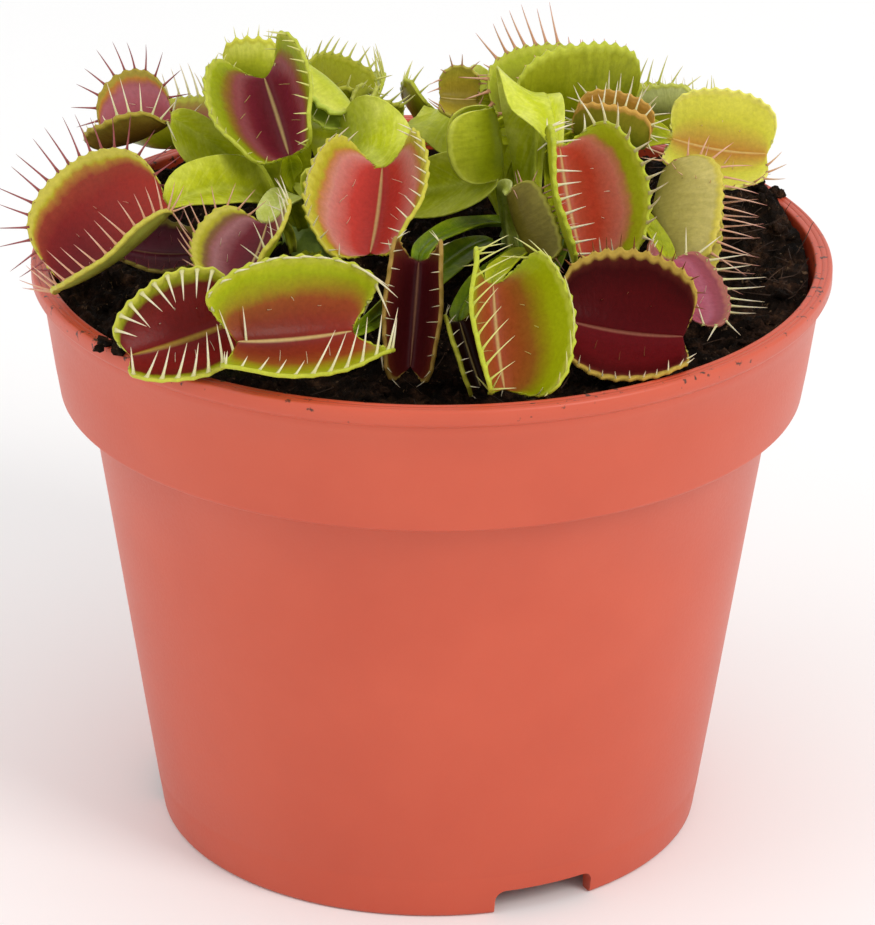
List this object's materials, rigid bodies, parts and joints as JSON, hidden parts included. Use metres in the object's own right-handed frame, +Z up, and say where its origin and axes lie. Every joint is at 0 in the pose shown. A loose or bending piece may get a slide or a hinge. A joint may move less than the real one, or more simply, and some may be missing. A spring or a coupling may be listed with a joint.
{
  "type": "potted venus flytrap",
  "caption": "Venus flytrap plant with open red and green snap traps and winged leaf stalks, growing in peat in a round terracotta-coloured plastic nursery pot.",
  "frame": {"origin": "centre of the pot on the plane it stands on", "axes": "+Z up along the pot's axis; the pot's front, the side in the picture, faces -Y; +X is to the right seen from the front"},
  "size_m": [0.09, 0.09, 0.0915],
  "materials": {
    "pot": "satin moulded polypropylene, terracotta orange",
    "soil": "damp black-brown peat with fibres, matt",
    "crown": "pale green leaf bases, satin",
    "leaf_red": "living leaf: red inside the trap, green margin and stalk, satin and slightly translucent",
    "leaf_maroon": "living leaf: dark maroon inside the trap, olive outside, satin and slightly translucent",
    "leaf_green": "living leaf: fresh green all over, satin and slightly translucent",
    "leaf_lime": "living leaf: lime yellow, thin and translucent, satin",
    "leaf_khaki": "living leaf: ageing khaki and ochre, satin"
  },
  "bodies": {
    "root": {"pot": "pot", "soil": "soil", "crown_left": "crown", "crown_right": "crown", "leaf_far_left": "leaf_red", "leaf_upper_left": "leaf_maroon", "leaf_low_left": "leaf_maroon", "leaf_mid_left": "leaf_maroon", "leaf_front_left": "leaf_red", "leaf_front": "leaf_red", "leaf_centre": "leaf_red", "leaf_narrow": "leaf_maroon", "leaf_front_right": "leaf_red", "leaf_behind_front": "leaf_khaki", "leaf_right": "leaf_red", "leaf_khaki": "leaf_khaki", "leaf_maroon": "leaf_maroon", "leaf_low_right": "leaf_maroon", "leaf_far_right": "leaf_lime", "leaf_back_right": "leaf_lime", "leaf_olive": "leaf_khaki", "leaf_grey": "leaf_khaki", "leaf_top_left": "leaf_red", "leaf_behind_top": "leaf_lime", "leaf_back_left": "leaf_green", "leaf_closed_left": "leaf_lime", "leaf_yellow": "leaf_green", "leaf_small_khaki": "leaf_khaki", "leaf_young": "leaf_green", "leaf_curled": "leaf_green", "leaf_tiny": "leaf_green", "leaf_rear_left": "leaf_red", "leaf_rear_mid_left": "leaf_green", "leaf_rear_mid_right": "leaf_red", "leaf_rear_right": "leaf_green"}
  },
  "joints": []
}
